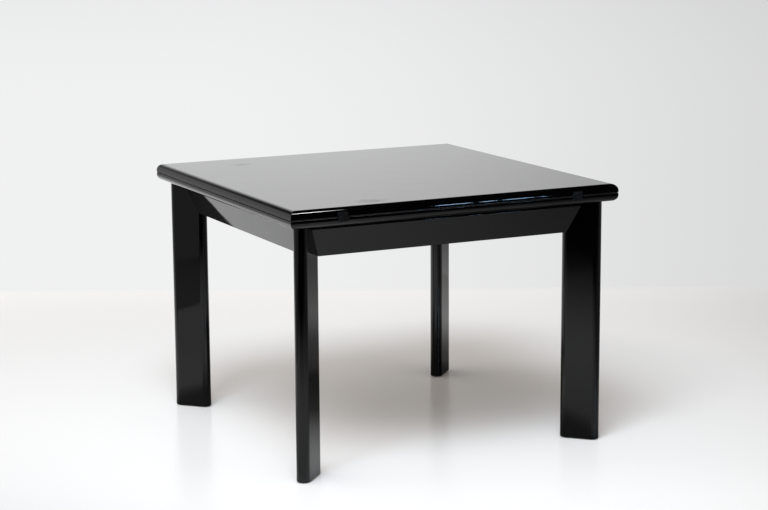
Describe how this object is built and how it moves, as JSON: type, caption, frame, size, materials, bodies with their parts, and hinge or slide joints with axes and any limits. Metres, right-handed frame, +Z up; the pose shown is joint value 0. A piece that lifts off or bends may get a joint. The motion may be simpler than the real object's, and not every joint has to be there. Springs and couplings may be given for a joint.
{
  "type": "extending dining table",
  "caption": "Square black-lacquered dining table whose hinged double top slides over the frame and unfolds to twice its length, on diagonal plank legs.",
  "frame": {"origin": "on the floor under the centre of the frame, which is also the centre of the closed top", "axes": "+Z up; +X along the hinged edge of the top; the hinged edge is on the -Y side, and the top slides towards +Y"},
  "size_m": [1, 1.0028, 0.7415],
  "materials": {
    "black_lacquer": "black high-gloss polyester lacquer over veneered board",
    "beech": "planed and oiled beech",
    "felt": "black wool felt",
    "nylon": "black nylon glide",
    "rubber": "matt black rubber",
    "hinge_metal": "blackened brass, slightly worn",
    "zinc_steel": "zinc-plated steel"
  },
  "bodies": {
    "frame": {"leg_front_left": "black_lacquer", "leg_front_right": "black_lacquer", "leg_back_right": "black_lacquer", "leg_back_left": "black_lacquer", "apron_front": "black_lacquer", "apron_right": "black_lacquer", "apron_back": "black_lacquer", "apron_left": "black_lacquer", "corner_block_front_left": "beech", "corner_block_front_right": "beech", "corner_block_back_right": "beech", "corner_block_back_left": "beech", "leg_bolts": "zinc_steel", "leg_washers": "zinc_steel", "leg_nuts": "zinc_steel", "foot_glides": "nylon", "leg_felts": "felt", "guide_rail_left": "beech", "guide_rail_right": "beech", "rail_felt_left": "felt", "rail_felt_right": "felt", "cross_rail_front": "beech", "cross_rail_back": "beech", "cross_rail_screws": "zinc_steel", "rail_dowels": "beech", "stop_bar_front": "beech", "stop_bar_back": "beech", "stop_bar_screws": "zinc_steel", "stop_buffers": "rubber"},
    "carriage": {"lower_leaf": "black_lacquer", "slider_left": "beech", "slider_right": "beech", "slider_screws": "zinc_steel", "leaf_felt_dots": "felt", "hinge_lower_left": "hinge_metal", "hinge_lower_right": "hinge_metal", "hinge_pin_left": "hinge_metal", "hinge_pin_right": "hinge_metal", "hinge_screws_lower": "hinge_metal"},
    "flap": {"upper_leaf": "black_lacquer", "hinge_upper_left": "hinge_metal", "hinge_upper_right": "hinge_metal", "hinge_screws_upper": "hinge_metal"}
  },
  "joints": [
    {"name": "top_slide", "type": "slide", "parent": "frame", "child": "carriage", "axis": [0, 1, 0], "range_m": [0, 0.5]},
    {"name": "leaf_fold", "type": "hinge", "parent": "carriage", "child": "flap", "pos_m": [0, -0.50025, 0.7171], "axis": [1, 0, 0], "range_deg": [0, 180]}
  ]
}
